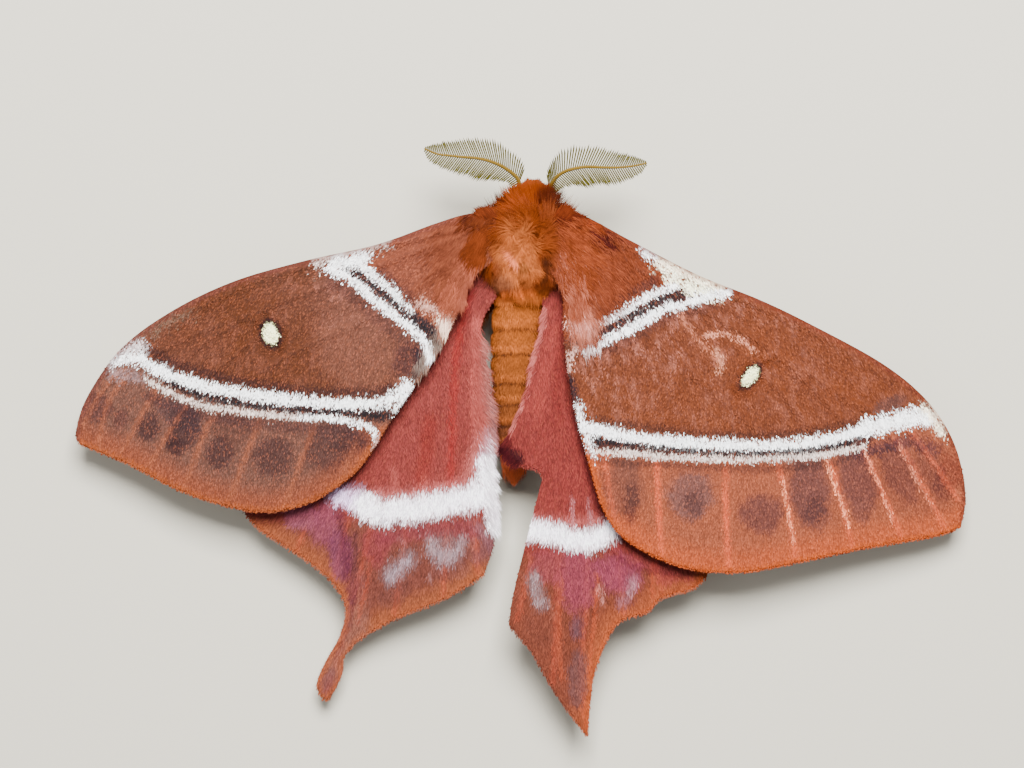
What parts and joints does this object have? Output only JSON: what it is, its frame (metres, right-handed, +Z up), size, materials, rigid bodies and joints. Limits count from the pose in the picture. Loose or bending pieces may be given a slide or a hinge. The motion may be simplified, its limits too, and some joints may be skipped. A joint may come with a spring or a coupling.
{
  "type": "banded emperor moth",
  "caption": "Life-size still model of a banded emperor moth, wings spread flat, with feathery antennae, furred body and short hindwing tails.",
  "frame": {"origin": "centre of the bounding box on the floor, under the abdomen", "axes": "+Z up, head towards +Y and tails towards -Y, the moth's left wings towards -X"},
  "size_m": [0.1103, 0.0729, 0.0139],
  "materials": {
    "head_fur": "dense orange-brown fur",
    "eye": "glossy dark brown, finely faceted",
    "antenna": "matte ochre, feathery",
    "thorax_fur": "long orange-brown fur in flat locks",
    "abdomen_fur": "short orange-brown fur with dark rings",
    "forewing": "matte scales, brown with white bands and a pale spot",
    "hindwing": "matte scales, rose-brown with a white band and a tail",
    "leg": "matte brown with short fur"
  },
  "bodies": {
    "root": {"head": "head_fur", "eye_left": "eye", "eye_right": "eye", "antenna_left": "antenna", "antenna_right": "antenna", "thorax": "thorax_fur", "abdomen": "abdomen_fur", "forewing_left": "forewing", "forewing_right": "forewing", "hindwing_left": "hindwing", "hindwing_right": "hindwing", "leg_front_left": "leg", "leg_front_right": "leg", "leg_middle_left": "leg", "leg_middle_right": "leg", "leg_hind_left": "leg", "leg_hind_right": "leg"}
  },
  "joints": []
}
